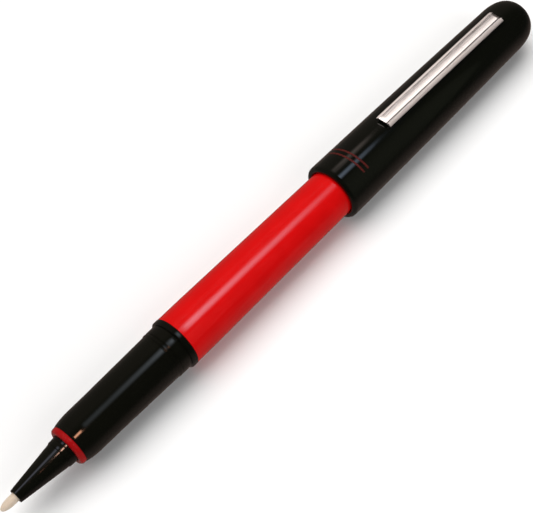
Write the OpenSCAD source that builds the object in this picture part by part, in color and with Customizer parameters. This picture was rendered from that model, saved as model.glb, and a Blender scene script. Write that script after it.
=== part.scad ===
// Refillable calligraphy marker with a fibre nib, an ink cartridge and its cap posted on the barrel.
// Distances along the pen run from the nib's point, towards the cap's closed end.

/* [Nib unit] */
// Diameter of the fibre nib
tip_d = 2.0; // [1.6:0.1:2.4]
// Length of fibre that stands out of the holder
tip_out = 3.8; // [3:0.1:5]
// Length of fibre pressed into the holder
tip_grip = 5; // [3:0.5:6]
// Length of the nib holder
holder_len = 13.8; // [12.5:0.1:13.8]
// Diameter of the holder's front face
holder_front_d = 3.2; // [2.8:0.1:3.8]
// Diameter at the end of the holder's cone
holder_cone_d = 5.98; // [5.5:0.02:6]
// Diameter at the rear of the holder's tapered step
holder_step_d = 6.36; // [6.3:0.02:6.4]
// Diameter of the holder's rear collar
holder_rear_d = 6.52; // [6.5:0.02:6.6]
// Diameter of the wick
wick_d = 1.62; // [1.4:0.02:1.7]
// Length of wick behind the holder
wick_out = 30.4; // [28:0.2:31]

/* [Grip section] */
// Width of the coloured nose ring
nose_ring_len = 1.25; // [1:0.05:1.6]
// Diameter at the back of the nose ring
nose_d = 9.04; // [8.8:0.02:9.2]
// Length of the curved shoulder behind the nose ring
shoulder_len = 3.8; // [3:0.1:5]
// Diameter of the grip just behind the shoulder
grip_front_d = 10.12; // [9.8:0.02:10.2]
// Diameter of the grip at its rear
grip_rear_d = 10.8; // [10.4:0.02:10.84]
// Length from the back of the nose ring to the centre ring
grip_len = 28.65; // [27:0.05:30]
// Diameter of the rib that holds the closed cap
rib_d = 11.06; // [10.9:0.02:11.14]
// Diameter of the bore for collector and cartridge
section_bore_d = 7.8; // [7.7:0.02:7.9]
// Length of the spigot that the barrel screws onto
spigot_len = 7.6; // [7.4:0.1:8]
// Outer diameter of the thread
thread_d = 9.9; // [9.8:0.02:9.96]
// Pitch of the thread
thread_pitch = 1.45; // [1.2:0.05:1.6]
// Turns of thread on the spigot
thread_turns = 4; // [3:1:4]

/* [Centre ring] */
// Width of the centre ring
centre_ring_len = 1.35; // [1:0.05:2]
// Outer diameter of the centre ring
centre_ring_d = 12.06; // [11.98:0.02:12.3]

/* [Barrel] */
// Length of the barrel
barrel_len = 68.6; // [67:0.2:70]
// Diameter of the barrel's cylindrical front land
barrel_d = 11.95; // [11.8:0.01:11.97]
// Length of the cylindrical front land
land_len = 6; // [5:0.5:8]
// Loss of barrel radius for each millimetre behind the land
barrel_taper = 0.00924; // [0.009:0.0001:0.0098]
// Bore of the barrel over the thread
barrel_thread_bore_d = 10.2; // [10.16:0.02:10.3]

/* [Cap] */
// Distance from the nib's point to the posted cap's mouth
cap_mouth = 96.45; // [96.2:0.05:97.4]
// Length of the cap
cap_len = 69; // [68.5:0.1:70]
// Largest diameter of the cap, at its mouth
cap_d = 14; // [13.8:0.1:14.4]
// Inner diameter of the cap's mouth
cap_mouth_bore_d = 11.34; // [11.32:0.01:11.4]
// Length of the domed end
dome_len = 8.4; // [7:0.1:9]

/* [Clip] */
// Distance from the nib's point to the clip's free end
clip_free = 114.45; // [112:0.05:118]
// Distance from the nib's point to the clip's root
clip_root = 155.8; // [154:0.05:156]
// Width of the clip's flat centre face
clip_face_w = 2.7; // [2.4:0.1:2.9]
// Width of each bevelled flank
clip_flank_w = 0.94; // [0.8:0.02:1.1]
// Angle by which the flanks bend down
clip_flank_angle = 38; // [30:1:40]
// Thickness of the spring strip
clip_t = 0.45; // [0.35:0.05:0.5]

/* [Cartridge] */
// Length of the cartridge with its tail plug
cartridge_len = 58; // [57:0.5:60]
// Largest diameter of the cartridge
cartridge_d = 7.5; // [7.3:0.02:7.52]
// Diameter of the cartridge's neck
neck_d = 6.06; // [5.8:0.02:6.2]
// Diameter of the sealing ball
ball_d = 3.6; // [3.2:0.1:3.6]

/* [Hidden] */
$fn = 96;

black = [0.05, 0.05, 0.045];
fibre = [0.90, 0.83, 0.76];
red = [0.82, 0.05, 0.05];

wall_gap = 0.02;          // gap between faces that meet end to end
press = 0.01;             // radial interference of a press fit
running = 0.05;           // radial clearance of a running fit
eps = 0.01;

// Stations along the pen
pen_len = cap_mouth + cap_len;
holder_rear = tip_out + holder_len;
wick_front = tip_out + tip_grip;
wick_rear = holder_rear + wick_out;
nose_ring_front = holder_rear - 0.6;
nose_ring_rear = nose_ring_front + nose_ring_len;
shoulder_rear = nose_ring_rear + shoulder_len;
section_rear = nose_ring_rear + grip_len;
spigot_rear = section_rear + centre_ring_len + spigot_len;
barrel_front = section_rear + centre_ring_len;
barrel_rear = barrel_front + barrel_len;
flange_front = section_rear - 5.2;
flange_len = 1.5;
cartridge_front = flange_front + flange_len + 0.5;
cartridge_rear = cartridge_front + cartridge_len;
liner_front = cap_mouth + 27;
liner_rear = liner_front + 26;

// Smaller sizes
tip_point_len = 2.6;
spigot_d = 10;
thread_root_d = 9.3;
nose_lip_r = 3.9;
nose_bore_r = holder_rear_d / 2 + 0.1;
wick_bore_r = wick_d / 2 + 0.14;
tube_r = 1.75;
tube_reach = 6.2;
neck_len = 3;
neck_bore_r = tube_r + 0.15;
cartridge_wall = 0.7;
tail_taper_len = 15.3;
tail_d = 4.6;
plug_len = 2.7;
plug_spigot_len = 2.1;
ink_gap = 0.04;
lip_round = 0.9;
cap_wall = 1.25;
cap_straight = 1.3;
cap_slope = 0.0058;       // loss of cap radius for each millimetre
cap_belly = 0.000115;      // further loss with the square of the distance
dome_power = 2.8;
slot_gap = 0.15;
tab_w = 3;
clip_top_free = 7.95;
clip_top_root = 7.35;
tab_low = 4.1;
foot_len = 1.4;
foot_t = 0.4;
liner_seat_r = 5.46;      // radius at which the liner's rim is pressed into the cap
liner_rim_len = 2.2;
mouth_land_len = 8;       // straight bore behind the cap's mouth

function cap_r(x) = let (u = max(0, x - cap_mouth - cap_straight))
    cap_d / 2 - cap_slope * u - cap_belly * u * u;
function barrel_r(x) = barrel_d / 2 - barrel_taper * max(0, x - barrel_front - land_len);
function mix(a, b, s) = a + (b - a) * s;

// Quarter of a round edge about centre [r, x], from angle a0 to a1
function round_edge(r, x, size, a0, a1, steps = 8) =
    [for (i = [0:steps]) let (a = mix(a0, a1, i / steps)) [r + size * cos(a), x + size * sin(a)]];

// A body turned about the pen's axis, from points [radius, distance from the nib's point]
module turned(points) rotate([0, 90, 0]) rotate_extrude() polygon(points);

// Puts a piece drawn about the pen's axis into the part's own frame
module placed() translate([-pen_len / 2, 0, cap_d / 2]) children();

module nib_tip() color(fibre) placed() turned(concat(
    [for (i = [0:12]) let (a = 90 * i / 12)
        [tip_d / 2 * sin(a), tip_point_len * (1 - cos(a))]],
    [[tip_d / 2, wick_front], [0, wick_front]]));

module feed_wick() color(fibre) placed() turned([
    [0, wick_front], [wick_d / 2, wick_front], [wick_d / 2, wick_rear - 0.2],
    [wick_d / 2 - 0.2, wick_rear], [0, wick_rear]]);

// The cone is followed by a tapered step and a tapered collar, which seats in the nose
module nib_holder() color(black) placed() {
    cone_rear = holder_rear - 2.75;
    step_rear = holder_rear - 1.95;
    collar_taper_rear = holder_rear - 1.1;
    taper_drop = 0.12;
    turned(concat(
        [[tip_d / 2 - press, wick_front], [tip_d / 2 - press, tip_out]],
        round_edge(holder_front_d / 2 - 0.15, tip_out + 0.15, 0.15, -90, 0, 4),
        [[holder_cone_d / 2, cone_rear], [holder_step_d / 2 - taper_drop, cone_rear + 0.05],
         [holder_step_d / 2, step_rear], [holder_rear_d / 2 - taper_drop, step_rear + 0.05],
         [holder_rear_d / 2, collar_taper_rear],
         [holder_rear_d / 2, holder_rear - 0.1], [holder_rear_d / 2 - 0.1, holder_rear],
         [wick_d / 2 - press, holder_rear], [wick_d / 2 - press, wick_front]]));
}

// Coloured ring, pressed over the lip at the section's nose
module nose_ring() color(red) placed() {
    lip_front = nose_ring_front + 0.6;
    front_r = nose_d / 2 - 0.16;
    turned(concat(
        [[nose_bore_r, nose_ring_front]],
        round_edge(front_r - 0.4, nose_ring_front + 0.4, 0.4, -90, -10, 6),
        [[nose_d / 2 + 0.02, nose_ring_rear - 0.25], [nose_d / 2, nose_ring_rear],
         [nose_lip_r - press, nose_ring_rear], [nose_lip_r - press, lip_front],
         [nose_bore_r, lip_front]]));
}

// Helical ridge about the pen's axis, its ends sunk into the spigot
module thread_ridge(start) {
    steps = 30;
    total = thread_turns * steps;
    foot_r = thread_root_d / 2 - 0.15;
    crest_r = thread_d / 2;
    half_foot = 0.42;
    half_crest = 0.14;
    function lift(i) = min(1, i / steps * 2, (total - i) / steps * 2);
    function ring(i) = let (a = 360 * i / steps, x = start + thread_pitch * i / steps,
                            top = mix(foot_r + 0.05, crest_r, lift(i)))
        [for (p = [[foot_r, -half_foot], [top, -half_crest], [top, half_crest], [foot_r, half_foot]])
            [x + p[1], p[0] * cos(a), p[0] * sin(a)]];
    points = [for (i = [0:total]) each ring(i)];
    faces = concat(
        [[3, 2, 1, 0]],
        [for (i = [0:total - 1], k = [0:3])
            [4 * i + k, 4 * i + (k + 1) % 4, 4 * i + 4 + (k + 1) % 4, 4 * i + 4 + k]],
        [[for (k = [0:3]) 4 * total + k]]);
    polyhedron(points, faces, convexity = 8);
}

module grip_section() color(black) placed() {
    lip_front = nose_ring_front + 0.6 + wall_gap;
    shoulder = [for (i = [0:10]) let (s = 1 - i / 10)
        [mix(grip_front_d, nose_d, pow(s, 1.6)) / 2, shoulder_rear - shoulder_len * s]];
    rib_x = section_rear - 1.9;
    ridge_start = barrel_front + 0.9;
    union() {
        turned(concat(
            [[nose_bore_r + 0.15, lip_front], [nose_lip_r, lip_front],
             [nose_lip_r, nose_ring_rear + wall_gap]],
            shoulder,
            [[grip_front_d / 2 + 0.03, shoulder_rear + 4.7],
             [grip_rear_d / 2, rib_x - 1.9], [rib_d / 2 - 0.05, rib_x - 1.1],
             [rib_d / 2, rib_x - 0.4], [rib_d / 2, rib_x + 0.1],
             [rib_d / 2 - 0.06, rib_x + 0.65], [rib_d / 2 + 0.02, rib_x + 1.4],
             [rib_d / 2 + 0.03, section_rear], [spigot_d / 2, section_rear],
             [spigot_d / 2, barrel_front + 0.3], [thread_root_d / 2, barrel_front + 0.6],
             [thread_root_d / 2, spigot_rear - 0.4], [thread_root_d / 2 - 0.3, spigot_rear],
             [section_bore_d / 2 + 0.2, spigot_rear], [section_bore_d / 2, spigot_rear - 0.3],
             [section_bore_d / 2, nose_ring_rear + 1.1],
             [nose_bore_r + 0.15, nose_ring_rear + 0.7]]));
        thread_ridge(ridge_start);
    }
}

// Comb that buffers the ink: fins on a core, with one feed slot along them
module collector() color("dimgray") placed() {
    front = holder_rear + 0.15;
    fins_front = nose_ring_rear + 1.6;
    rear = flange_front - wall_gap;
    core_r = 2.2;
    fin_r = section_bore_d / 2 - 0.1;
    fin_pitch = 1.2;
    fin_t = 0.55;
    rear_disc_len = 1.4;
    fins = floor((rear - rear_disc_len - fins_front) / fin_pitch);
    difference() {
        turned(concat(
            [[wick_bore_r, front], [nose_bore_r, front], [nose_bore_r, fins_front - 0.6],
             [core_r, fins_front - 0.6]],
            [for (i = [0:fins - 1]) let (x = fins_front + i * fin_pitch)
                each [[core_r, x], [fin_r, x], [fin_r, x + fin_t], [core_r, x + fin_t]]],
            [[core_r, rear - rear_disc_len], [section_bore_d / 2 + press, rear - rear_disc_len],
             [section_bore_d / 2 + press, rear], [wick_bore_r, rear]]));
        translate([fins_front - 0.6, -0.25, core_r - 0.6])
            cube([rear - rear_disc_len - fins_front + 0.6, 0.5, fin_r]);
    }
}

// Flanged tube that opens the cartridge and carries the wick's end
module feed_tube() color("gainsboro") placed() {
    flange_rear = flange_front + flange_len;
    tube_rear = flange_rear + tube_reach;
    turned([
        [wick_bore_r, flange_front], [section_bore_d / 2 + press, flange_front],
        [section_bore_d / 2 + press, flange_rear], [tube_r + 0.4, flange_rear],
        [tube_r, flange_rear + 0.4], [tube_r, tube_rear - 1.2],
        [wick_bore_r + 0.25, tube_rear], [wick_bore_r, tube_rear]]);
}

module centre_ring() color(black) placed() {
    front = section_rear + wall_gap;
    rear = barrel_front - wall_gap;
    outer_r = centre_ring_d / 2;
    inner_r = spigot_d / 2 + running;
    turned(concat(
        [[inner_r, front]],
        round_edge(outer_r - 0.35, front + 0.35, 0.35, -90, 0, 6),
        round_edge(outer_r - 0.1, rear - 0.1, 0.1, 0, 90, 3),
        [[inner_r, rear]]));
}

module barrel() color(red) placed() {
    tail_round = 2.6;
    floor_t = 1.6;
    bore_step = spigot_rear + 1.2;
    tail_r = barrel_r(barrel_rear - tail_round);
    inner_front_r = 4.8;
    inner_rear_r = 4.35;
    turned(concat(
        [[barrel_thread_bore_d / 2 + 0.15, barrel_front],
         [barrel_d / 2 - 0.08, barrel_front], [barrel_d / 2, barrel_front + 0.08],
         [barrel_d / 2, barrel_front + land_len]],
        round_edge(tail_r - tail_round, barrel_rear - tail_round, tail_round, 0, 90, 10),
        [[0, barrel_rear], [0, barrel_rear - floor_t]],
        round_edge(inner_rear_r - 1.4, barrel_rear - floor_t - 1.4, 1.4, 90, 0, 6),
        [[inner_front_r, bore_step], [barrel_thread_bore_d / 2, bore_step - 0.4],
         [barrel_thread_bore_d / 2, barrel_front + 0.15]]));
}

module cartridge_tube() color("thistle", 0.5) placed() {
    shoulder_x = cartridge_front + neck_len;
    taper_x = cartridge_rear - tail_taper_len;
    tube_rear = cartridge_rear - plug_len;
    outer_r = cartridge_d / 2;
    rear_r = outer_r - 0.22;
    turned([
        [neck_bore_r, cartridge_front], [neck_d / 2 - 0.2, cartridge_front],
        [neck_d / 2, cartridge_front + 0.2], [neck_d / 2, shoulder_x],
        [outer_r - 0.15, shoulder_x], [outer_r, shoulder_x + 0.15],
        [rear_r, taper_x - 1], [rear_r - 0.03, taper_x], [tail_d / 2, tube_rear],
        [tail_d / 2 - cartridge_wall, tube_rear],
        [tail_d / 2 - cartridge_wall, tube_rear - plug_spigot_len],
        [rear_r - cartridge_wall, taper_x], [outer_r - cartridge_wall, shoulder_x + 0.8],
        [neck_bore_r, shoulder_x + 0.3]]);
}

module cartridge_tail_plug() color("whitesmoke", 0.6) placed() {
    joint_x = cartridge_rear - plug_len;
    spigot_r = tail_d / 2 - cartridge_wall + press;
    turned(concat(
        [[0, joint_x - plug_spigot_len + 0.2], [spigot_r - 0.15, joint_x - plug_spigot_len + 0.2],
         [spigot_r, joint_x - plug_spigot_len + 0.4], [spigot_r, joint_x + wall_gap],
         [tail_d / 2, joint_x + wall_gap], [tail_d / 2 - 0.1, cartridge_rear - 0.35]],
        round_edge(tail_d / 2 - 0.45, cartridge_rear - 0.35, 0.35, 0, 90, 4),
        [[0, cartridge_rear]]));
}

// The ball lies loose on the cartridge's lower wall, behind the feed tube
ball_x = cartridge_front + neck_len + 7;
ball_drop = cartridge_d / 2 - cartridge_wall - 0.06 - ball_d / 2 - 0.1;

module seal_ball() color("gray") placed() translate([ball_x, 0, -ball_drop]) sphere(d = ball_d);

module ink() color([0.35, 0.02, 0.08]) placed() {
    front = cartridge_front + neck_len + 0.9;
    taper_x = cartridge_rear - tail_taper_len;
    rear = cartridge_rear - plug_len - plug_spigot_len;
    full_r = cartridge_d / 2 - cartridge_wall - ink_gap;
    tube_space_rear = flange_front + flange_len + tube_reach + 0.5;
    difference() {
        turned([
            [neck_bore_r, front], [full_r - 0.02, front], [full_r - 0.22, taper_x],
            [tail_d / 2 - cartridge_wall + 0.02, rear], [0, rear],
            [0, tube_space_rear], [neck_bore_r, tube_space_rear]]);
        translate([ball_x, 0, -ball_drop]) sphere(d = ball_d + 0.06);
    }
}

module cap_shell() color(black) placed() {
    dome_x = pen_len - dome_len;
    outer_r = cap_d / 2;
    mouth_r = cap_mouth_bore_d / 2;
    inner_round = outer_r - lip_round - mouth_r;
    dome = [for (i = [0:18]) let (a = 90 * i / 18)
        [cap_r(dome_x) * pow(cos(a), 2 / dome_power), dome_x + dome_len * pow(sin(a), 2 / dome_power)]];
    inner_end = pen_len - 1.6;
    inner_dome_r = cap_r(dome_x) - cap_wall;
    inner_dome = [for (i = [0:10]) let (a = 90 - 9 * i)
        [inner_dome_r * cos(a), inner_end - 3.6 + 3.6 * sin(a)]];
    taper = [for (i = [0:11]) let (x = mix(cap_mouth + cap_straight, dome_x, i / 12)) [cap_r(x), x]];
    difference() {
        turned(concat(
            round_edge(mouth_r + inner_round, cap_mouth + inner_round, inner_round, 180, 270, 5),
            round_edge(outer_r - lip_round, cap_mouth + lip_round, lip_round, -90, 0, 8),
            taper, dome, inner_dome,
            [[cap_r(liner_rear) - cap_wall - 0.02, liner_rear],
             [liner_seat_r - 0.12, liner_front + liner_rim_len + 0.8],
             [liner_seat_r, liner_front + liner_rim_len + 0.4], [liner_seat_r, liner_front],
             [liner_seat_r + 0.06, liner_front - 0.3],
             [mouth_r - 0.04, cap_mouth + mouth_land_len]]));
        translate([clip_root - clip_t - slot_gap, -tab_w / 2 - slot_gap, tab_low])
            cube([clip_t + 2 * slot_gap, tab_w + 2 * slot_gap, 3]);
    }
}

// Liner that closes on the nose, so that the nib doesn't dry out
module inner_cap() color("dimgray") placed() {
    lip_r = 4.8;
    bore_front_r = 4.6;
    bore_rear_r = 4.3;
    wall = 0.62;
    floor_t = 0.8;
    rear_r = bore_rear_r + wall;
    turned(concat(
        [[lip_r, liner_front], [liner_seat_r - 0.16, liner_front],
         [liner_seat_r + press, liner_front + 0.3],
         [liner_seat_r + press, liner_front + liner_rim_len],
         [bore_front_r + wall, liner_front + liner_rim_len + 0.3]],
        round_edge(rear_r - 1.2, liner_rear - 1.2, 1.2, 0, 90, 5),
        [[0, liner_rear], [0, liner_rear - floor_t]],
        round_edge(bore_rear_r - 0.8, liner_rear - floor_t - 0.8, 0.8, 90, 0, 4),
        [[bore_front_r, liner_front + 0.8]]));
}

// Pressed spring strip with a flat face between two bevelled flanks, and a hooked root
module clip() color("silver") placed() {
    run = clip_root - clip_free;
    slope = atan((clip_top_free - clip_top_root) / run);
    flank_y = clip_face_w / 2 + clip_flank_w * cos(clip_flank_angle);
    flank_z = -clip_flank_w * sin(clip_flank_angle);
    under_y = clip_face_w / 2 - clip_t * tan(clip_flank_angle / 2);
    low_y = flank_y - clip_t * sin(clip_flank_angle);
    low_z = flank_z - clip_t * cos(clip_flank_angle);
    profile = [
        [-flank_y, flank_z], [-clip_face_w / 2, 0], [clip_face_w / 2, 0], [flank_y, flank_z],
        [low_y, low_z], [under_y, -clip_t], [-under_y, -clip_t], [-low_y, low_z]];
    tab_front = clip_root - clip_t;
    union() {
        translate([clip_root, 0, clip_top_root]) rotate([0, slope, 0])
            rotate([90, 0, -90]) linear_extrude(run / cos(slope)) polygon(profile);
        translate([tab_front, -tab_w / 2, tab_low])
            cube([clip_t, tab_w, clip_top_root - clip_t / 2 - tab_low]);
        translate([tab_front - foot_len, -tab_w / 2 + 0.1, tab_low])
            cube([foot_len + eps, tab_w - 0.2, foot_t]);
    }
}

nib_tip();
feed_wick();
nib_holder();
nose_ring();
grip_section();
collector();
feed_tube();
centre_ring();
barrel();
cartridge_tube();
cartridge_tail_plug();
seal_ball();
ink();
cap_shell();
inner_cap();
clip();
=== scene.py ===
import math

import bmesh
import bpy
from mathutils import Matrix, Vector


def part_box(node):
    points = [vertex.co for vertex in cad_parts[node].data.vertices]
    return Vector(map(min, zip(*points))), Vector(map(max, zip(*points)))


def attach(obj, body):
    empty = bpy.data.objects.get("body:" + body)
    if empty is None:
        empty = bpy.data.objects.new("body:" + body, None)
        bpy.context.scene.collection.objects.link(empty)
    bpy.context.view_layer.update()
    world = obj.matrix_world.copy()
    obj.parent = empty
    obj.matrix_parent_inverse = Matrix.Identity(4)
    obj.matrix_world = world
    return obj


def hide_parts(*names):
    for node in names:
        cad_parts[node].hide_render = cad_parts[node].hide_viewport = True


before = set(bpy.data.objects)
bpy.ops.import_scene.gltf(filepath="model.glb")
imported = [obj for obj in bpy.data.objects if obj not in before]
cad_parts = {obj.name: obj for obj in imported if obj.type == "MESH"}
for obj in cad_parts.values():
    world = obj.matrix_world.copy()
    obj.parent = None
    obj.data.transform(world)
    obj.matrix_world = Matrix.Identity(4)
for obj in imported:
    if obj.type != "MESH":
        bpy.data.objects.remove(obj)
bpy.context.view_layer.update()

# Lengths below are millimetres in the frame's own axes, with the pen along X: nib at -X, cap at +X.
MM = 0.001
SEGMENTS = 144                              # round an outer piece
INNER_SEGMENTS = 96                         # round a piece that the cap or the barrel hides
NIB_SEGMENTS, WICK_SEGMENTS = 72, 48
SHARP = math.radians(40)                    # edges that turn by more than this stay crisp
TINY = 1e-6                                 # a radius below this is a pole on the axis


# ---------------------------------------------------------------- places, from the frame
def front(node):
    """The node's end towards the nib, along X."""
    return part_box(node)[0].x / MM


def rear(node):
    """The node's end towards the cap's closed end, along X."""
    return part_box(node)[1].x / MM


def radius(node):
    """Half the node's width, which is its outer radius."""
    low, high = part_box(node)
    return (high.y - low.y) / 2 / MM


BARREL_LOW, BARREL_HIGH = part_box("barrel")
AXIS_Z = (BARREL_LOW.z + BARREL_HIGH.z) / 2 / MM
NIB_POINT = front("nib_tip")
NOSE_BORE = radius("nib_holder") + 0.1
CLIP_FACE = 2.7                             # width of the clip's face between its creases
GROOVE_Y = -CLIP_FACE / 2 + 0.38            # middle of the fine groove along that face


# ---------------------------------------------------------------- mesh tools
def mix(a, b, share):
    return a + (b - a) * share


def rounded(corners, steps=6):
    """An outline whose corners are eased. A corner is (station, radius) or (station, radius, ease).

    An ease takes at most longest_share of the side that it shares with its neighbour.
    """
    longest_share = 0.48
    points = []
    count = len(corners)
    for i, corner in enumerate(corners):
        here = Vector(corner[:2])
        ease = corner[2] if len(corner) > 2 else 0
        before = Vector(corners[i - 1][:2]) - here
        after = Vector(corners[(i + 1) % count][:2]) - here
        ease = min(ease, before.length * longest_share, after.length * longest_share)
        if ease <= 0:
            points.append(here)
            continue
        start = here + before.normalized() * ease
        end = here + after.normalized() * ease
        for k in range(steps + 1):
            s = k / steps
            points.append(start * (1 - s) ** 2 + here * (2 * s * (1 - s)) + end * s ** 2)
    return [(p.x, p.y) for p in points]


def quarter_turn(steps, first=0):
    """Angles from 0 to a right angle in equal steps, starting at the step called first."""
    return [math.pi / 2 * k / steps for k in range(first, steps + 1)]


def new_object(name, mesh_builder):
    """A smooth-shaded object from a bmesh in millimetres, with its normals facing out."""
    bmesh.ops.recalc_face_normals(mesh_builder, faces=mesh_builder.faces)
    bmesh.ops.scale(mesh_builder, vec=(MM, MM, MM), verts=mesh_builder.verts)
    mesh = bpy.data.meshes.new(name)
    mesh_builder.to_mesh(mesh)
    mesh_builder.free()
    mesh.shade_smooth()
    mesh.set_sharp_from_angle(angle=SHARP)
    piece = bpy.data.objects.new(name, mesh)
    bpy.context.scene.collection.objects.link(piece)
    return piece


def join_rings(builder, rings, closed):
    """Quads between neighbouring rings of vertices. A ring of one vertex is a pole."""
    pairs = list(zip(rings, rings[1:]))
    if closed:
        pairs.append((rings[-1], rings[0]))
    for a, b in pairs:
        count = max(len(a), len(b))
        if count == 1:
            continue
        for k in range(count):
            j = (k + 1) % count
            corners = [a[k % len(a)], a[j % len(a)], b[j % len(b)], b[k % len(b)]]
            face = [v for n, v in enumerate(corners) if v not in corners[:n]]
            builder.faces.new(face)


def turned(name, outline, segments=SEGMENTS):
    """A body turned about the pen's axis from (station, radius) points, closed through its last point."""
    builder = bmesh.new()
    rings = []
    for x, r in outline:
        turns = segments if r > TINY else 1
        rings.append([builder.verts.new((x, -r * math.sin(2 * math.pi * k / turns),
                                         AXIS_Z + r * math.cos(2 * math.pi * k / turns)))
                      for k in range(turns)])
    join_rings(builder, rings, closed=outline[0][1] > TINY or outline[-1][1] > TINY)
    return new_object(name, builder)


def carve(piece, tool, operation):
    """Joins tool to piece, or cuts it out, and leaves only the resulting mesh."""
    modifier = piece.modifiers.new("carve", "BOOLEAN")
    modifier.operation = operation
    modifier.solver = "EXACT"
    modifier.object = tool
    graph = bpy.context.evaluated_depsgraph_get()
    mesh = bpy.data.meshes.new_from_object(piece.evaluated_get(graph))
    piece.modifiers.clear()
    piece.data = mesh
    bpy.data.objects.remove(tool)
    mesh.shade_smooth()
    mesh.set_sharp_from_angle(angle=SHARP)
    return piece


def block(name, low, high, ease=0.0):
    """A box between two corners, in millimetres, with its edges eased."""
    builder = bmesh.new()
    size = Vector(high) - Vector(low)
    bmesh.ops.create_cube(builder, size=1)
    for vertex in builder.verts:
        vertex.co = Vector(low) + Vector((vertex.co[i] + 0.5) * size[i] for i in range(3))
    if ease > 0:
        bmesh.ops.bevel(builder, geom=builder.edges[:], offset=ease, segments=3, affect="EDGES",
                        profile=0.5)
    return new_object(name, builder)


# ---------------------------------------------------------------- material tools
def add_node(tree, kind, inputs=None, **settings):
    """A node whose inputs are linked where a socket is given, and set where a plain value is."""
    made = tree.nodes.new(kind)
    for key, value in settings.items():
        setattr(made, key, value)
    for key, value in (inputs or {}).items():
        if isinstance(value, bpy.types.NodeSocket):
            tree.links.new(value, made.inputs[key])
        else:
            made.inputs[key].default_value = value
    return made


def blended(tree, share, a, b):
    """The colour between a and b at a share from 0 to 1."""
    return add_node(tree, "ShaderNodeMix", {0: share, 6: a, 7: b}, data_type="RGBA").outputs[2]


class Finish:
    """A procedural material. Values that are the same all over go straight onto the shader's sockets."""

    def __init__(self, name, **sockets):
        self.material = bpy.data.materials.new(name)
        self.material.use_nodes = True
        self.tree = self.material.node_tree
        self.shader = self.tree.nodes["Principled BSDF"]
        for socket, value in sockets.items():
            self.shader.inputs[socket.replace("_", " ")].default_value = value
        self.place = self.node("ShaderNodeTexCoord").outputs["Object"]
        self.height = None

    def node(self, kind, inputs=None, **settings):
        return add_node(self.tree, kind, inputs, **settings)

    def maths(self, operation, a, b):
        return self.node("ShaderNodeMath", {0: a, 1: b}, operation=operation).outputs[0]

    def noise(self, per_metre, detail=3.0, stretch=(1, 1, 1)):
        """Noise over the piece's own coordinates. A small stretch value draws it out along that axis."""
        scale = [per_metre * s for s in stretch]
        moved = self.node("ShaderNodeMapping", {"Vector": self.place, "Scale": scale}).outputs[0]
        made = self.node("ShaderNodeTexNoise", {"Vector": moved, "Scale": 1.0, "Detail": detail})
        return made.outputs["Fac"]

    def graded(self, value, low, high, to_low, to_high):
        made = self.node("ShaderNodeMapRange", {"Value": value, "From Min": low, "From Max": high,
                                                "To Min": to_low, "To Max": to_high})
        return made.outputs["Result"]

    def edges(self, low=0.52, high=0.62):
        """0 on flats and 1 on worn outer edges."""
        pointed = self.node("ShaderNodeNewGeometry").outputs["Pointiness"]
        return self.graded(pointed, low, high, 0.0, 1.0)

    def blend_colour(self, share, a, b):
        return blended(self.tree, share, a, b)

    def colour(self, socket):
        self.tree.links.new(socket, self.shader.inputs["Base Color"])

    def roughness(self, socket):
        self.tree.links.new(socket, self.shader.inputs["Roughness"])

    def bump(self, value, depth_mm, strength=1.0):
        """Adds one layer of relief, its depth in millimetres."""
        inputs = {"Height": value, "Distance": depth_mm * MM, "Strength": strength}
        if self.height is not None:
            inputs["Normal"] = self.height
        self.height = self.node("ShaderNodeBump", inputs).outputs["Normal"]
        self.tree.links.new(self.height, self.shader.inputs["Normal"])


LENGTHWISE = (0.02, 1, 1)        # stretches noise into streaks along the pen


def opaque(colour, brightness=1.0):
    """A colour with its brightness scaled, as the four numbers that a socket takes."""
    return [min(1, c * brightness) for c in colour[:3]] + [1]


def polished_plastic(name, base, worn, roughness, waviness_mm=0.004, **sockets):
    """Glossy moulded plastic: slight waviness, hairline rubs, soft dust-fine mottling and paler edges."""
    finish = Finish(name, **sockets)
    mottle = finish.noise(180, 4)
    rubs = finish.noise(2600, 2, LENGTHWISE)
    body = finish.blend_colour(finish.graded(mottle, 0.35, 0.65, 0, 1),
                               opaque(base, 0.96), opaque(base, 1.04))
    wear = finish.maths("MULTIPLY", finish.edges(0.56, 0.72), finish.graded(mottle, 0.4, 0.6, 0.2, 0.8))
    finish.colour(finish.blend_colour(wear, body, opaque(worn)))
    scuffed = finish.graded(rubs, 0.52, 0.75, roughness, roughness + 0.10)
    finish.roughness(finish.maths("ADD", scuffed, finish.graded(mottle, 0.3, 0.7, 0, 0.025)))
    finish.bump(finish.noise(90, 2), waviness_mm, 0.5)
    finish.bump(rubs, 0.0012, 0.35)
    return finish.material


def bonded_fibre(name, base, dark, grain):
    """Bonded felt fibre: lengthwise strands, fine pores and a little light passing through."""
    finish = Finish(name, Subsurface_Weight=0.35, Subsurface_Radius=(1, 0.8, 0.6), Subsurface_Scale=0.0005,
                    Specular_IOR_Level=0.3)
    strands = finish.noise(grain, 4, (0.06, 1, 1))
    pores = finish.noise(9000, 2)
    tone = finish.maths("ADD", finish.graded(strands, 0.3, 0.7, 0, 0.7),
                        finish.graded(pores, 0.4, 0.7, 0, 0.3))
    finish.colour(finish.blend_colour(tone, opaque(base), opaque(dark)))
    finish.roughness(finish.graded(strands, 0.3, 0.7, 0.55, 0.8))
    finish.bump(strands, 0.03, 0.6)
    finish.bump(pores, 0.012, 0.5)
    return finish.material


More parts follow.
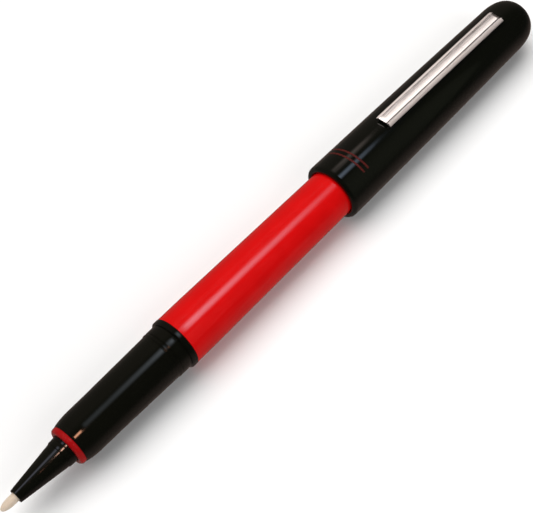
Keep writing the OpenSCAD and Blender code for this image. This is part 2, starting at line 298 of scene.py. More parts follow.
def matt_plastic(name, base, worn, roughness=0.5, **sockets):
    """Unpolished moulded plastic with a fine spark-eroded grain."""
    finish = Finish(name, **sockets)
    grain = finish.noise(6000, 3)
    mottle = finish.noise(400, 3)
    body = finish.blend_colour(finish.graded(mottle, 0.35, 0.65, 0, 1),
                               opaque(base, 0.85), opaque(base, 1.1))
    finish.colour(finish.blend_colour(finish.edges(), body, opaque(worn)))
    finish.roughness(finish.graded(grain, 0.3, 0.7, roughness - 0.08, roughness + 0.1))
    finish.bump(grain, 0.006, 0.5)
    return finish.material


def clear_plastic(name, tint, roughness, see_through):
    """Translucent moulded tube: thin, slightly cloudy, with flow lines along it."""
    finish = Finish(name, Transmission_Weight=see_through, IOR=1.5)
    cloud = finish.noise(350, 4)
    flow = finish.noise(1500, 2, LENGTHWISE)
    finish.colour(finish.blend_colour(finish.graded(cloud, 0.3, 0.7, 0, 1),
                                      opaque(tint), opaque(tint, 0.88)))
    finish.roughness(finish.graded(flow, 0.3, 0.7, roughness, roughness + 0.12))
    finish.bump(flow, 0.003, 0.4)
    return finish.material


def dark_ink(name, thin, thick):
    """Ink in the tube: nearly black where it is deep, redder in drifting patches."""
    finish = Finish(name, Roughness=0.12)
    drift = finish.noise(230, 3, (0.6, 1, 1))
    bubbles = finish.noise(1400, 2)
    patches = finish.maths("MULTIPLY", finish.graded(drift, 0.5, 0.66, 0, 1),
                           finish.graded(bubbles, 0.3, 0.6, 0.6, 1))
    finish.colour(finish.blend_colour(patches, opaque(thick), opaque(thin)))
    finish.roughness(finish.graded(bubbles, 0.3, 0.7, 0.08, 0.2))
    finish.bump(bubbles, 0.01, 0.3)
    return finish.material


def brushed_steel(name, base, bright):
    """Stainless strip, polished along its length, with darker drawn lines and bright worn edges.

    Painted shade darkens the fine groove's colour, in place of the shade that falls in it: in full to
    groove_mm from its middle and not at all past unshaded_mm.
    """
    groove_mm, unshaded_mm, shade_share = 0.10, 0.17, 0.10
    finish = Finish(name, Metallic=1.0)
    streaks = finish.noise(9000, 3, (0.004, 1, 1))
    smears = finish.noise(700, 3, (0.10, 1, 1))
    tone = finish.maths("ADD", finish.graded(streaks, 0.3, 0.7, 0, 0.6),
                        finish.graded(smears, 0.3, 0.7, 0, 0.4))
    body = finish.blend_colour(tone, opaque(base, 0.82), opaque(base))
    worn = finish.blend_colour(finish.edges(0.54, 0.66), body, opaque(bright))
    # Painted shade: the colour goes darker along the fine groove, standing in for the shade inside it.
    across = finish.node("ShaderNodeSeparateXYZ", {"Vector": finish.place}).outputs["Y"]
    off_groove = finish.maths("ABSOLUTE", finish.maths("SUBTRACT", across, GROOVE_Y * MM), 0.0)
    painted_groove_shade = finish.graded(off_groove, groove_mm * MM, unshaded_mm * MM, 1.0, 0.0)
    finish.colour(finish.blend_colour(painted_groove_shade, worn, opaque(base, shade_share)))
    finish.roughness(finish.graded(streaks, 0.3, 0.7, 0.20, 0.32))
    finish.bump(streaks, 0.002, 0.5)
    finish.bump(smears, 0.010, 0.25)
    return finish.material


def printed_mark(name, base):
    """Thin stamped paint, worn through in specks."""
    finish = Finish(name, Specular_IOR_Level=0.4)
    specks = finish.noise(3000, 3)
    finish.colour(finish.blend_colour(finish.graded(specks, 0.45, 0.65, 0, 1),
                                      opaque(base), opaque(base, 0.45)))
    finish.roughness(finish.graded(specks, 0.3, 0.7, 0.25, 0.5))
    finish.bump(specks, 0.004, 0.4)
    return finish.material


BLACK = polished_plastic("black_plastic", (0.0023, 0.0026, 0.0014), (0.020, 0.018, 0.016), 0.075)
RED = polished_plastic("barrel_red", (0.57, 0.0026, 0.0028), (0.70, 0.02, 0.02), 0.10)
RING_RED = polished_plastic("ring_red", (0.33, 0.004, 0.005), (0.45, 0.02, 0.02), 0.14)
NIB_FIBRE = bonded_fibre("nib_fibre", (0.71, 0.60, 0.49), (0.60, 0.48, 0.37), 5200)
WICK_FIBRE = bonded_fibre("wick_fibre", (0.86, 0.77, 0.68), (0.68, 0.57, 0.48), 4200)
COLLECTOR_GREY = matt_plastic("collector_plastic", (0.10, 0.10, 0.11), (0.17, 0.17, 0.18))
FEED_WHITE = matt_plastic("feed_plastic", (0.74, 0.74, 0.71), (0.85, 0.85, 0.83), 0.3)
LINER_WHITE = matt_plastic("liner_plastic", (0.68, 0.67, 0.62), (0.8, 0.79, 0.75), 0.4)
BALL_GREY = matt_plastic("ball_plastic", (0.42, 0.39, 0.40), (0.5, 0.48, 0.48), 0.35)
TUBE_CLEAR = clear_plastic("cartridge_plastic", (0.58, 0.40, 0.46), 0.10, 0.90)
PLUG_CLEAR = clear_plastic("plug_plastic", (0.86, 0.82, 0.81), 0.25, 0.75)
INK = dark_ink("ink", (0.20, 0.010, 0.035), (0.022, 0.004, 0.012))
STEEL = brushed_steel("clip_steel", (0.62, 0.575, 0.56), (0.86, 0.83, 0.81))
MARK = printed_mark("cap_mark", (0.080, 0.010, 0.008))


def finish_piece(piece, material, body, slot, *nodes):
    """Gives a piece its material and body, and hides the CAD nodes that it stands for; slot is not used."""
    piece.data.materials.clear()
    piece.data.materials.append(material)
    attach(piece, body)
    if nodes:
        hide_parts(*nodes)
    return piece


def refinish_node(node, material):
    """Gives a CAD node that stays in view a better material."""
    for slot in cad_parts[node].material_slots:
        slot.material = material


# ---------------------------------------------------------------- nib unit
def bullet_nib():
    """Fibre rod ground to a rounded point."""
    x0, x1, r = front("nib_tip"), rear("nib_tip"), radius("nib_tip")
    point_len = 2.6
    outline = [(x0 + point_len * (1 - math.cos(a)), r * math.sin(a)) for a in quarter_turn(20)]
    outline += [(x1, r), (x1, 0)]
    finish_piece(turned("bullet_nib", outline, NIB_SEGMENTS), NIB_FIBRE, "nib_unit", "nib_fibre", "nib_tip")


def ink_wick():
    """Thin fibre rod that carries the ink to the nib."""
    x0, x1, r = front("feed_wick"), rear("feed_wick"), radius("feed_wick")
    outline = rounded([(x0, 0), (x0, r), (x1, r, 0.2), (x1, 0)])
    finish_piece(turned("ink_wick", outline, WICK_SEGMENTS), WICK_FIBRE,
                 "nib_unit", "wick_fibre", "feed_wick")


def nib_cone():
    """Cone, tapered step and tapered collar, with a fine gap before each, bored for the fibre."""
    x0, x1, collar = front("nib_holder"), rear("nib_holder"), radius("nib_holder")
    nose, cone, step = 1.54, 2.99, 3.20             # radii: front end, cone's rear end, step's rear end
    cone_end, step_end, taper_end = x1 - 2.55, x1 - 1.25, x1 - 0.35
    taper, gap_len, gap_depth = math.tan(math.radians(3.5)), 0.10, 0.07
    bore, wick, seat = radius("nib_tip"), radius("feed_wick"), rear("nib_tip")
    outline = [(x0 + 0.12, bore), (x0, bore + 0.08, 0.06), (x0, nose, 0.16)]
    for end, before, after, reach in ((cone_end, cone, step, step_end), (step_end, step, collar, taper_end)):
        past_gap, floor = end + gap_len, before - gap_depth
        outline += [(end, before, 0.05), (end, floor, 0.03), (past_gap, floor, 0.03),
                    (past_gap, after - taper * (reach - past_gap), 0.05)]
    outline += [(taper_end, collar, 0.2), (x1, collar, 0.12), (x1, wick), (seat, wick), (seat, bore)]
    finish_piece(turned("nib_cone", rounded(outline)), BLACK, "nib_unit", "black_plastic", "nib_holder")


# ---------------------------------------------------------------- grip section
def nose_band():
    """Red ring with a full, rounded front."""
    x0, x1, outer = front("nose_ring"), rear("nose_ring"), radius("nose_ring")
    seat, wall = 3.89, 0.6                          # radius of the seat behind the ring's front wall
    round_len, round_height = 0.80, 0.72
    outline = [(x0 + 0.05, NOSE_BORE), (x0, NOSE_BORE + 0.06)]
    outline += [(x0 + round_len * (1 - math.cos(a)), outer - round_height * (1 - math.sin(a)))
                for a in quarter_turn(12)]
    outline += [(x1 - 0.1, outer), (x1, outer - 0.06), (x1, seat), (x0 + wall, seat), (x0 + wall, NOSE_BORE)]
    finish_piece(turned("nose_band", outline), RING_RED, "section", "ring_red", "nose_ring")


def thread_ridge(start, pitch, turns, foot, crest):
    """Helical ridge about the pen's axis, fading out over half a turn at both ends."""
    half_foot, half_crest, ease = 0.42, 0.14, 0.05
    per_turn = 72
    total = turns * per_turn
    builder = bmesh.new()
    rings = []
    for i in range(total + 1):
        angle = 2 * math.pi * i / per_turn
        x = start + pitch * i / per_turn
        lift = min(1, 2 * i / per_turn, 2 * (total - i) / per_turn)
        top = mix(foot + ease, crest, lift)
        section = [(-half_foot, foot), (-half_crest, top - 0.03), (-half_crest + ease, top),
                   (half_crest - ease, top), (half_crest, top - 0.03), (half_foot, foot)]
        rings.append([builder.verts.new((x + dx, r * math.cos(angle), AXIS_Z + r * math.sin(angle)))
                      for dx, r in section])
    join_rings(builder, rings, closed=False)
    builder.faces.new(rings[0])
    builder.faces.new(rings[-1][::-1])
    return new_object("thread_ridge", builder)


def grip():
    """Grip with a curved shoulder, a bead for the closed cap, and the threaded spigot behind it."""
    x0, x1, bead_r = front("grip_section"), rear("grip_section"), radius("grip_section")
    ring, barrel = front("centre_ring"), front("barrel")
    clearance = 0.02
    nose, stop = rear("nose_ring") + clearance, ring - clearance
    shoulder_len, shoulder_power, straight_len = 3.8, 2.0, 4.7
    nose_r, grip_r, rear_r = 4.62, 5.06, 5.40
    spigot, root, bore = 5.0, 4.65, 3.9
    lip, lip_bore = 3.9, NOSE_BORE + 0.15
    thread_start, pitch, turns, crest = barrel + 0.9, 1.45, 4, 4.95
    bead = ring - 3.6                               # start of the bead's front groove
    steps = 14
    neck = [(x0, lip_bore), (x0, lip, 0.05), (nose, lip), (nose, nose_r - 0.02, 0.04)]
    shoulder = [(nose + shoulder_len * k / steps, mix(grip_r, nose_r, (1 - k / steps) ** shoulder_power))
                for k in range(1, steps + 1)]
    flank = [(nose + shoulder_len + straight_len, grip_r + 0.03, 1.5), (bead, rear_r, 0.08)]
    front_groove = [(bead + 0.12, rear_r - 0.08, 0.05), (bead + 0.28, rear_r - 0.08, 0.05)]
    bead_top = [(bead + 0.40, bead_r, 0.12), (bead + 0.85, bead_r, 0.12)]
    rear_groove = [(bead + 0.97, rear_r - 0.07, 0.05), (bead + 1.13, rear_r - 0.07, 0.05)]
    land = [(bead + 1.25, bead_r - 0.02, 0.08), (stop, bead_r - 0.02, 0.06)]
    stem = [(stop, spigot), (barrel + 0.3, spigot, 0.05), (barrel + 0.6, root, 0.05), (x1 - 0.4, root, 0.1),
            (x1, root - 0.3, 0.05), (x1, bore + 0.2, 0.05)]
    inside = [(x1 - 0.3, bore), (nose + 1.1, bore), (nose + 0.7, lip_bore)]
    outline = neck + shoulder + flank + front_groove + bead_top + rear_groove + land + stem + inside
    piece = turned("grip", rounded(outline))
    carve(piece, thread_ridge(thread_start, pitch, turns, root - 0.15, crest), "UNION")
    finish_piece(piece, BLACK, "section", "black_plastic", "grip_section")


def centre_band():
    """Black ring between the grip and the barrel, rounded at its front edge."""
    x0, x1, outer = front("centre_ring"), rear("centre_ring"), radius("centre_ring")
    bore = 5.05
    outline = rounded([(x0, bore, 0.05), (x0, outer, 0.34), (x1, outer, 0.1), (x1, bore, 0.05)], 8)
    finish_piece(turned("centre_band", outline), BLACK, "centre_ring", "black_plastic", "centre_ring")


# ---------------------------------------------------------------- barrel
def red_barrel():
    """Slightly tapered barrel, round at the tail that the cap covers, open at its threaded mouth."""
    x0, x1, land = front("barrel"), rear("barrel"), radius("barrel")
    land_len, taper, tail_round = 6.0, 0.00924, 2.6
    thread_bore, inner_front, inner_rear, floor = 5.1, 4.8, 4.35, 1.6
    chamfer, step_len = 0.15, 0.4
    step = rear("grip_section") + 1.2               # where the thread's bore has narrowed to the inner one
    tail = land - taper * (x1 - tail_round - x0 - land_len)
    outline = rounded([(x0, thread_bore + chamfer, 0.05), (x0, land, 0.09), (x0 + land_len, land, 1.0),
                       (x1 - tail_round, tail, 0.3)])
    outline += [(x1 - tail_round * (1 - math.sin(a)), tail - tail_round * (1 - math.cos(a)))
                for a in quarter_turn(12, first=1)]
    outline += [(x1, 0), (x1 - floor, 0)]
    outline += rounded([(x1 - floor, 0.01), (x1 - floor, inner_rear, 1.6), (step, inner_front, 0.1),
                        (step - step_len, thread_bore, 0.1), (x0 + chamfer, thread_bore, 0.05)])[1:]
    finish_piece(turned("red_barrel", outline), RED, "barrel", "barrel_red", "barrel")


# ---------------------------------------------------------------- cartridge
def cartridge():
    """Tube with a narrow neck, which tapers towards its tail and is open there for the plug."""
    x0, x1, outer = front("cartridge_tube"), rear("cartridge_tube"), radius("cartridge_tube")
    neck_len, neck, neck_bore, wall = 3.0, 3.03, 1.9, 0.7
    taper_len, back_drop, tail, plug_reach = 15.3, 0.22, 2.3, 2.1
    shoulder = x0 + neck_len
    taper = rear("cartridge_tail_plug") - taper_len
    back = outer - back_drop
    outline = rounded([
        (x0, neck_bore, 0.08), (x0, neck, 0.2), (shoulder, neck, 0.08), (shoulder, outer, 0.3),
        (taper - 0.5, back, 0.8), (x1, tail, 0.06), (x1, tail - wall), (x1 - plug_reach, tail - wall, 0.3),
        (taper, back - wall, 0.8), (shoulder + 0.8, outer - wall, 0.3), (shoulder + 0.4, neck_bore, 0.2)])
    finish_piece(turned("cartridge", outline, INNER_SEGMENTS), TUBE_CLEAR,
                 "cartridge", "cartridge_plastic", "cartridge_tube")


def tail_plug():
    """Clear plug, its head level with the tube's tail and its spigot inside it."""
    node = "cartridge_tail_plug"
    x0, x1, outer = front(node), rear(node), radius(node)
    joint = rear("cartridge_tube") + 0.02
    spigot = outer - 0.69
    outline = rounded([(x0, 0), (x0, spigot, 0.12), (joint, spigot, 0.05), (joint, outer, 0.08),
                       (x1, outer - 0.08, 0.35), (x1, 0)])
    finish_piece(turned("tail_plug", outline, INNER_SEGMENTS), PLUG_CLEAR,
                 "cartridge", "plug_plastic", "cartridge_tail_plug")


# ---------------------------------------------------------------- cap
CAP_FRONT, CAP_REAR, CAP_R = front("cap_shell"), rear("cap_shell"), radius("cap_shell")
CAP_STRAIGHT = 1.3                          # length of the cap at its full radius, behind the mouth
CAP_TAPER, CAP_BELLY = 0.0058, 0.000115     # loss of radius per mm along it, and per square mm
CAP_SEGMENTS = 180
DOME_LEN = 8.4
TAB_HALF = 1.5                              # half width of the tab that roots the clip in the cap
CLIP_THICKNESS = 0.45


def cap_radius(x):
    """Outer radius of the cap, which tapers with a slight belly."""
    u = max(0.0, x - CAP_FRONT - CAP_STRAIGHT)
    return CAP_R - CAP_TAPER * u - CAP_BELLY * u * u


def cap_body():
    """Cap with a rounded lip, a domed end, a seat for its liner and a slot for the clip's root."""
    mouth, seat, wall = 5.67, 5.46, 1.25
    lip_round, mouth_round = 0.9, 0.43
    dome_x, dome_power = CAP_REAR - DOME_LEN, 2.8
    hollow_end, hollow_len = CAP_REAR - 1.6, 3.6
    liner, liner_end = front("inner_cap"), rear("inner_cap")
    dome_r = cap_radius(dome_x)
    lip = [(CAP_FRONT + mouth_round * (1 - math.cos(a)), mouth + mouth_round * (1 - math.sin(a)))
           for a in reversed(quarter_turn(6, first=1))]
    lip += [(CAP_FRONT + lip_round * (1 - math.cos(a)), CAP_R - lip_round * (1 - math.sin(a)))
            for a in quarter_turn(12)]
    flank = [(x, cap_radius(x)) for x in (mix(CAP_FRONT + CAP_STRAIGHT, dome_x, k / 40) for k in range(40))]
    dome = [(dome_x + DOME_LEN * math.sin(a) ** (2 / dome_power),
             dome_r * max(0.0, math.cos(a)) ** (2 / dome_power)) for a in quarter_turn(30)]
    dome[-1] = (CAP_REAR, 0)
    hollow = [(hollow_end - hollow_len * (1 - math.cos(a)), (dome_r - wall) * math.sin(a))
              for a in quarter_turn(14)]
    bore = [(liner_end, cap_radius(liner_end) - wall - 0.02), (liner + 3, seat - 0.12), (liner + 2.6, seat),
            (liner, seat), (liner - 0.3, seat + 0.06), (CAP_FRONT + 8, mouth - 0.04),
            (CAP_FRONT + mouth_round, mouth)]
    piece = turned("cap_body", lip + flank + dome + hollow + bore, CAP_SEGMENTS)
    gap, above = 0.15, 1
    low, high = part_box("clip")
    slot = block("clip_slot", (high.x / MM - CLIP_THICKNESS - gap, -TAB_HALF - gap, low.z / MM),
                 (high.x / MM + gap, TAB_HALF + gap, AXIS_Z + CAP_R + above))
    carve(piece, slot, "DIFFERENCE")
    finish_piece(piece, BLACK, "cap", "black_plastic", "cap_shell")


def cap_liner():
    """Inner cup that seals the nib, with a rim that grips the cap."""
    x0, x1, rim = front("inner_cap"), rear("inner_cap"), radius("inner_cap")
    lip, bore_front, bore_rear, wall, floor = 4.8, 4.6, 4.3, 0.62, 0.8
    flare_len, rim_len = 0.8, 2.3
    outline = rounded([
        (x0 + flare_len, bore_front, 0.2), (x0, lip, 0.15), (x0, rim - 0.05, 0.25), (x0 + rim_len, rim, 0.15),
        (x0 + rim_len + 0.2, bore_front + wall, 0.1), (x1, bore_rear + wall, 1.3), (x1, 0)])
    outline += rounded([(x1 - floor, 0), (x1 - floor, bore_rear, 1.0), (x0 + flare_len, bore_front)])[:-1]
    finish_piece(turned("cap_liner", outline, INNER_SEGMENTS), LINER_WHITE,
                 "cap", "liner_plastic", "inner_cap")


def cap_mark():
    """Two plain fine lines stamped across the cap near its mouth, in place of any print."""
    builder = bmesh.new()
    width, lift, drift = 0.5, 0.012, 0.7            # drift: how far a line runs along the cap as it crosses
    turn_from, turn_to = math.radians(-40), math.radians(46)
    across, along = 60, 4                           # faces across the cap, and along it
    for middle in (7.2, 5.8):                       # distance of each line's middle from the mouth
        grid = []
        for k in range(across + 1):
            s = k / across
            angle = mix(turn_from, turn_to, s)
            row = []
            for j in range(along + 1):
                x = CAP_FRONT + middle + drift * (0.5 - s) + width * (j / along - 0.5)
                r = cap_radius(x) + lift
                row.append(builder.verts.new((x, r * math.sin(angle), AXIS_Z + r * math.cos(angle))))
            grid.append(row)
        for a, b in zip(grid, grid[1:]):
            for j in range(along):
                builder.faces.new((a[j], a[j + 1], b[j + 1], b[j]))
    finish_piece(new_object("cap_mark", builder), MARK, "cap", "black_plastic")


# ---------------------------------------------------------------- clip
def clip_section(face, flank, angle, thickness):
    """Cross-section of the strip as (across, up) points: crowned face, fine groove, bent-down flanks.

    crown is how far the face rises in its middle. crease, edge and inner_crease ease its corners.
    """
    edge_y = face / 2 + flank * math.cos(angle)
    edge_z = -flank * math.sin(angle)
    under = face / 2 - thickness * math.tan(angle / 2)
    low_y = edge_y - thickness * math.sin(angle)
    low_z = edge_z - thickness * math.cos(angle)
    groove_half, groove_depth, groove_ease = 0.12, 0.11, 0.02
    crown, crease, edge, inner_crease = 0.06, 0.14, 0.10, 0.08

    def crowned(y):
        return -crown * (2 * y / face) ** 2

    corners = [(edge_y, edge_z, edge), (face / 2, -crown, crease)]
    corners += [(y, crowned(y)) for y in (face / 2 * (1 - k / 6) for k in range(1, 9))]
    corners += [(GROOVE_Y + groove_half, crowned(GROOVE_Y), groove_ease),
                (GROOVE_Y, -groove_depth - crown / 2, groove_ease),
                (GROOVE_Y - groove_half, crowned(GROOVE_Y), groove_ease)]
    corners += [(-face / 2, -crown, crease), (-edge_y, edge_z, edge), (-low_y, low_z, edge),
                (-under, -thickness, inner_crease), (under, -thickness, inner_crease), (low_y, low_z, edge)]
    return rounded(corners, 4)


def spring_clip():
    """Bevelled strip, straight-cut at both ends, its middle bent down into the cap's slot.

    Its ends are eased by free_ease and root_ease, the underside by a share of that. Over dip_len the
    free end turns down by dip.
    """
    low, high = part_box("clip")
    x0, x1 = low.x / MM, high.x / MM
    top_free, top_root = high.z / MM - AXIS_Z, 7.35
    thickness, flank, flank_angle = CLIP_THICKNESS, 0.94, math.radians(38)
    half_width = 2.3
    section = clip_section(CLIP_FACE, flank, flank_angle, thickness)
    bend_half, bend_len, bend_drop = 1.3, 0.9, 0.24
    free_ease, root_ease, under_share = 0.14, 0.05, 0.3
    dip_len, dip = 1.3, 0.07
    stations = [x0 + step for step in (0, 0.02, 0.06, free_ease, 0.3, 0.5, 0.75, 1.0, dip_len)]
    stations += [mix(x0 + dip_len, x1 - bend_len, k / 30) for k in range(1, 31)]
    stations += [mix(x1 - bend_len, x1 - root_ease, k / 8) for k in range(1, 9)] + [x1 - 0.02, x1]
    builder = bmesh.new()
    rings = []
    for x in stations:
        ease, end = (free_ease, x - x0) if x - x0 < x1 - x else (root_ease, x1 - x)
        inset = ease * (1 - math.sqrt(max(0.0, 1 - (1 - min(1, end / ease)) ** 2)))
        turned_down = dip * max(0.0, 1 - (x - x0) / dip_len) ** 2
        level = AXIS_Z + mix(top_free, top_root, (x - x0) / (x1 - x0)) - turned_down
        bend = bend_drop * max(0.0, (x - (x1 - bend_len)) / bend_len) ** 2
        ring = []
        for y, z in section:
            if z > -thickness / 2:
                drop = bend * max(0.0, 1 - (abs(y) / bend_half) ** 4) + inset
            else:
                drop = -under_share * inset
            ring.append(builder.verts.new((x, y * (1 - inset / half_width), level + z - drop)))
        rings.append(ring)
    join_rings(builder, rings, closed=False)
    builder.faces.new(rings[0])
    builder.faces.new(rings[-1][::-1])
    piece = new_object("spring_clip", builder)
    foot_len, foot_t, ease = 1.4, 0.4, 0.06
    tab = block("clip_tab", (x1 - thickness, -TAB_HALF + 0.01, low.z / MM),
                (x1 - 0.01, TAB_HALF - 0.01, AXIS_Z + top_root - thickness * 0.7), ease)
    foot = block("clip_foot", (x1 - thickness - foot_len, -TAB_HALF + 0.1, low.z / MM + 0.01),
                 (x1 - thickness / 2, TAB_HALF - 0.1, low.z / MM + foot_t), ease)
    carve(piece, tab, "UNION")
    carve(piece, foot, "UNION")
    finish_piece(piece, STEEL, "clip", "clip_steel", "clip")


for make in (bullet_nib, ink_wick, nib_cone, nose_band, grip, centre_band, red_barrel, cartridge, tail_plug,
             cap_body, cap_liner, cap_mark, spring_clip):
    make()
for node, material in (("collector", COLLECTOR_GREY), ("feed_tube", FEED_WHITE), ("seal_ball", BALL_GREY),
                       ("ink", INK)):
    refinish_node(node, material)


# ---------------------------------------------------------------- studio
def pale_floor():
    """A wide floor that the pen lies on. It stays out of the pen's reflections."""
    builder = bmesh.new()
    half = 4000
    corners = ((-half, -half), (half, -half), (half, half), (-half, half))
    builder.faces.new([builder.verts.new((x, y, 0)) for x, y in corners])
    floor = new_object("floor", builder)
    finish = Finish("pale_floor", Roughness=0.9, Specular_IOR_Level=0.1)
    finish.shader.inputs["Base Color"].default_value = opaque((1, 1, 1), 0.93)
    floor.data.materials.append(finish.material)
    floor.visible_glossy = False


def round_axis(angle_from_top, slope, distance):
    """A point off the pen's axis, turned from the top towards -Y, with X at slope times its distance."""
    angle = math.radians(angle_from_top)
    return Vector((slope * distance, -distance * math.sin(angle), AXIS_Z + distance * math.cos(angle))) * MM


def soft_light(name, place, length, width, radiance, aim, glossy=True, only=None):
    """An area light of a given radiance per colour channel, its long side along the pen."""
    data = bpy.data.lights.new(name, "AREA")
    data.shape = "RECTANGLE"
    data.size = length * MM
    data.size_y = width * MM
    strength = max(radiance)
    data.color = [c / strength for c in radiance]
    data.energy = strength * math.pi * data.size * data.size_y
    light = bpy.data.objects.new(name, data)
    away = (place - aim).normalized()
    along = (Vector((1, 0, 0)) - away * away.x).normalized()
    light.matrix_world = Matrix.Translation(place) @ Matrix(
        (along, away.cross(along), away)).transposed().to_4x4()
    light.visible_glossy = glossy
    light.visible_camera = False
    bpy.context.scene.collection.objects.link(light)
    if only is not None:
        light.light_linking.receiver_collection = only
    return light


def soften(light, stops, power=2.0):
    """Fades a light to nothing at the edges of its width, and along its length by (place, share) stops."""
    data = light.data
    data.use_nodes = True
    tree = data.node_tree
    emission = next(n for n in tree.nodes if n.type == "EMISSION")
    place = add_node(tree, "ShaderNodeNewGeometry").outputs["Parametric"]
    spot = add_node(tree, "ShaderNodeSeparateXYZ", {0: place})

    def maths(operation, a, b):
        return add_node(tree, "ShaderNodeMath", {0: a, 1: b}, operation=operation).outputs[0]

    centred = maths("SUBTRACT", maths("MULTIPLY", spot.outputs["Y"], 2.0), 1.0)
    across = maths("POWER", maths("SUBTRACT", 1.0, maths("MULTIPLY", centred, centred)), power)
    ramp = add_node(tree, "ShaderNodeValToRGB", {0: spot.outputs["X"]})
    ramp.color_ramp.interpolation = "EASE"
    elements = ramp.color_ramp.elements
    while len(elements) < len(stops):
        elements.new(0.5)
    for element, (position, share) in zip(elements, stops):
        element.position = position
        element.color = (share, share, share, 1)
    tree.links.new(maths("MULTIPLY", across, ramp.outputs[0]), emission.inputs["Strength"])


EVEN = ((0.0, 1.0), (1.0, 1.0))             # the stops of a light that is as strong all along


def overhead(name, angle, x_from, x_to, width, radiance, only, stops=EVEN, power=2.0, blocker=None):
    """A light along the pen from x_from to x_to, which only the given pieces reflect.

    Its angle about the axis is turned from the top towards -Y. Only the blocker's pieces throw its shadow.
    """
    distance = 400
    middle = (x_from + x_to) / 2
    place = round_axis(angle, middle / distance, distance)
    aim = Vector((middle, 0, AXIS_Z)) * MM
    light = soft_light(name, place, x_to - x_from, width, radiance, aim, only=only)
    light.data.use_shadow = blocker is not None
    light.light_linking.blocker_collection = blocker
    soften(light, stops, power)


def piece_group(name, *pieces):
    group = bpy.data.collections.new(name)
    bpy.context.scene.collection.children.link(group)
    for piece in pieces:
        group.objects.link(bpy.data.objects[piece])
    return group


def room_lights():
    """Broad lights for colour and soft shadows, which stay out of the reflections."""
    pen = Vector((0, 0, AXIS_Z)) * MM
    soft_light("key", Vector((0.35, 0.25, 0.75)), 700, 700, (2.15, 2.1, 2.05), aim=pen, glossy=False)
    soft_light("fill", Vector((0.0, -0.7, 0.5)), 600, 600, (2.55, 2.55, 2.55), aim=pen, glossy=False)
    sky_data = bpy.data.lights.new("sky", "SUN")
    sky_data.energy = 2.1
    sky_data.angle = math.radians(60)
    sky = bpy.data.objects.new("sky", sky_data)
    sky.rotation_euler = (math.radians(-15), math.radians(-20), 0)
    sky.visible_glossy = False
    bpy.context.scene.collection.objects.link(sky)


def highlight_lights():
    """Long soft strips and small lamps, each for the pieces whose highlight it draws."""
    grip_pieces = piece_group("grip_group", "grip", "centre_band", "nose_band")
    nose_pieces = piece_group("nose_group", "grip")
    cone_pieces = piece_group("cone_group", "nib_cone")
    barrel_pieces = piece_group("barrel_group", "red_barrel")
    cap_pieces = piece_group("cap_group", "cap_body", "cap_mark")
    clip_pieces = piece_group("clip_group", "spring_clip")
    # The highlight along each turned piece.
    overhead("grip_strip", 9.5, x_from=-20, x_to=100, width=260, radiance=(1.65, 1.85, 2.05),
             only=grip_pieces, power=2.5,
             stops=((0.0, 0.1), (0.28, 0.27), (0.5, 0.42), (0.7, 0.55), (0.85, 0.9)))
    overhead("barrel_strip", 8.1, x_from=60, x_to=240, width=290, radiance=(4.3, 4.4, 5.1),
             only=barrel_pieces, power=2.5, blocker=cap_pieces,
             stops=((0.0, 1.0), (0.2, 1.0), (0.42, 0.76), (0.62, 0.62), (0.8, 0.34), (1.0, 0.17)))
    overhead("cap_strip", 5.5, x_from=180, x_to=251, width=170, radiance=(1.9, 2.35, 3.0),
             only=cap_pieces, power=2.5, stops=((0.0, 1.0), (0.5, 0.9), (1.0, 0.6)))
    overhead("cap_side", -26.9, x_from=180, x_to=251, width=210, radiance=(1.15, 0.97, 0.88),
             only=cap_pieces, power=2.5, stops=((0.0, 0.1), (0.4, 0.35), (0.8, 1.0), (1.0, 1.0)))
    overhead("cap_wash", 60, x_from=100, x_to=350, width=760, radiance=(0.085, 0.09, 0.065), only=cap_pieces,
             power=1.2)
    overhead("cone_side", -17, x_from=-185, x_to=-50, width=210, radiance=(1.15, 1.2, 1.5), only=cone_pieces)
    # Small warm lamps, which make the copper glints on the nose and the nib's cone.
    overhead("nose_lamp", 18.1, x_from=-155, x_to=-60, width=95, radiance=(17, 7.8, 4.6), only=nose_pieces,
             power=1.0)
    overhead("collar_lamp", 14.5, x_from=-70, x_to=-10, width=85, radiance=(23, 13, 9.5), only=cone_pieces,
             power=1.0)
    overhead("cone_lamp", 19.9, x_from=-113, x_to=-108, width=36, radiance=(8, 3.2, 2.0), only=cone_pieces,
             power=1.0)
    # The clip's face, its two flanks, and the edge of its free end.
    overhead("clip_box", -20.5, x_from=100, x_to=450, width=150, radiance=(3.5, 3.35, 3.25), only=clip_pieces,
             power=1.5)
    overhead("clip_side", 26, x_from=100, x_to=450, width=520, radiance=(1.45, 1.34, 1.28), only=clip_pieces,
             power=1.4)
    overhead("clip_low", -82, x_from=100, x_to=400, width=640, radiance=(1.35, 1.24, 1.18), only=clip_pieces,
             power=0.5)
    overhead("clip_end", -33, x_from=-560, x_to=215, width=300, radiance=(3.2, 3.05, 2.95), only=clip_pieces,
             power=0.7)


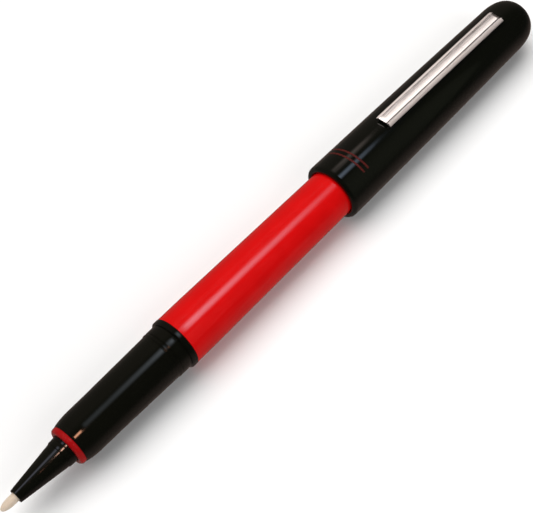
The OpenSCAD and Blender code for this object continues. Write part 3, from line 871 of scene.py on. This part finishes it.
def surroundings():
    """Dark surroundings, warmer behind the pen and below the horizon."""
    world = bpy.data.worlds.new("surroundings")
    bpy.context.scene.world = world
    world.use_nodes = True
    tree = world.node_tree
    towards = add_node(tree, "ShaderNodeTexCoord").outputs["Generated"]
    direction = add_node(tree, "ShaderNodeSeparateXYZ", {0: towards})

    def zone(axis, start, full, below, colour):
        """Goes from the colour below to this one as the direction's axis goes from start to full."""
        inputs = {"Value": direction.outputs[axis], "From Min": start, "From Max": full}
        share = add_node(tree, "ShaderNodeMapRange", inputs, interpolation_type="SMOOTHSTEP")
        return blended(tree, share.outputs["Result"], below, colour)

    behind = zone("Y", -0.1, 0.5, (0.03, 0.03, 0.03, 1), (0.11, 0.095, 0.085, 1))
    everywhere = zone("Z", -0.05, -0.6, behind, (0.17, 0.13, 0.115, 1))
    tree.links.new(everywhere, tree.nodes["Background"].inputs["Color"])


def camera():
    """Looks down on the nib's side of the pen, so that the pen rises to the right across the frame."""
    aim_from_nib, side = 75.38, 0.12
    distance, lens = 271.4, 86.45
    lean = math.radians(22.05)                      # towards the nib
    turn = math.radians(26.5)                       # about the axis, from the top towards -Y
    rise = math.radians(43.87)                      # of the pen's axis across the frame
    aim = Vector((NIB_POINT + aim_from_nib, 0, AXIS_Z)) * MM
    back = Vector((-math.sin(lean), -math.cos(lean) * math.sin(turn), math.cos(lean) * math.cos(turn)))
    along = (Vector((1, 0, 0)) - back * back.x).normalized()
    over = back.cross(along)
    right = math.cos(rise) * along - math.sin(rise) * over
    up = math.sin(rise) * along + math.cos(rise) * over
    data = bpy.data.cameras.new("camera")
    data.lens = lens
    data.sensor_width = 36
    data.clip_start = 0.01
    seen = bpy.data.objects.new("camera", data)
    seen.matrix_world = Matrix.Translation(aim - over * side * MM + back * distance * MM) @ Matrix(
        (right, up, back)).transposed().to_4x4()
    bpy.context.scene.collection.objects.link(seen)
    bpy.context.scene.camera = seen


pale_floor()
room_lights()
highlight_lights()
surroundings()
camera()
bpy.context.scene.view_settings.view_transform = "Standard"
